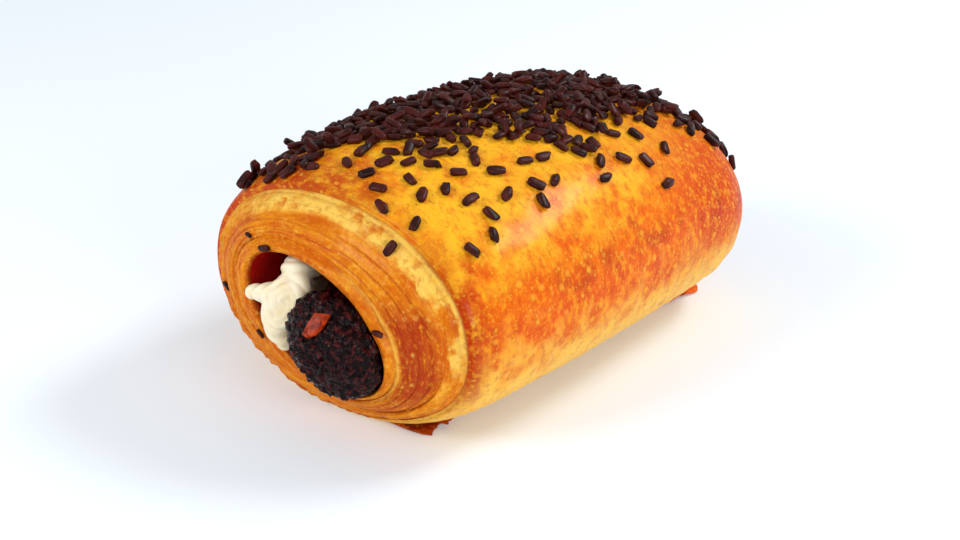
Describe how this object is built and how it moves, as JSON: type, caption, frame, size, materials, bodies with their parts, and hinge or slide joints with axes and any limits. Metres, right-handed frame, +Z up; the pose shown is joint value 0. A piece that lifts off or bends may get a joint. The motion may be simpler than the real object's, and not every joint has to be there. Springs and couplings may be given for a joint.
{
  "type": "pain au chocolat",
  "caption": "Rolled laminated pastry, filled with dark chocolate and cream at its open layered end, with chocolate sprinkles along its crest.",
  "frame": {"origin": "middle of the bounding box at the flat underside", "axes": "+Y along the roll towards its plain end, so the filled end faces -Y; +X towards the side where the tail of the sheet shows underneath; +Z up"},
  "size_m": [0.0808, 0.1238, 0.0556],
  "materials": {
    "baked_dough": "glossy",
    "dark_filling": "satin",
    "cream": "satin",
    "brown_shard": "satin",
    "sprinkles": "satin"
  },
  "bodies": {
    "root": {"pastry_roll": "baked_dough", "chocolate_filling": "dark_filling", "cream_filling": "cream", "filling_fragment": "brown_shard", "sprinkle_bed": "sprinkles", "sprinkle_01": "sprinkles", "sprinkle_02": "sprinkles", "sprinkle_03": "sprinkles", "sprinkle_04": "sprinkles", "sprinkle_05": "sprinkles", "sprinkle_06": "sprinkles", "sprinkle_07": "sprinkles", "sprinkle_08": "sprinkles", "sprinkle_09": "sprinkles", "sprinkle_10": "sprinkles", "sprinkle_11": "sprinkles", "sprinkle_12": "sprinkles", "sprinkle_13": "sprinkles", "sprinkle_14": "sprinkles", "sprinkle_15": "sprinkles", "sprinkle_16": "sprinkles", "sprinkle_17": "sprinkles", "sprinkle_18": "sprinkles", "sprinkle_19": "sprinkles", "sprinkle_20": "sprinkles", "sprinkle_21": "sprinkles", "sprinkle_22": "sprinkles", "sprinkle_23": "sprinkles", "sprinkle_24": "sprinkles", "sprinkle_25": "sprinkles", "sprinkle_26": "sprinkles", "sprinkle_27": "sprinkles", "sprinkle_28": "sprinkles", "sprinkle_29": "sprinkles", "sprinkle_30": "sprinkles", "sprinkle_31": "sprinkles", "sprinkle_32": "sprinkles", "sprinkle_33": "sprinkles", "sprinkle_34": "sprinkles", "sprinkle_35": "sprinkles", "sprinkle_36": "sprinkles", "sprinkle_37": "sprinkles", "sprinkle_38": "sprinkles", "sprinkle_39": "sprinkles", "sprinkle_40": "sprinkles", "sprinkle_41": "sprinkles", "sprinkle_42": "sprinkles", "sprinkle_43": "sprinkles", "sprinkle_44": "sprinkles", "sprinkle_45": "sprinkles", "sprinkle_46": "sprinkles", "sprinkle_47": "sprinkles", "sprinkle_48": "sprinkles", "sprinkle_49": "sprinkles", "sprinkle_50": "sprinkles", "sprinkle_51": "sprinkles", "sprinkle_52": "sprinkles", "sprinkle_53": "sprinkles", "sprinkle_54": "sprinkles", "sprinkle_55": "sprinkles"}
  },
  "joints": []
}
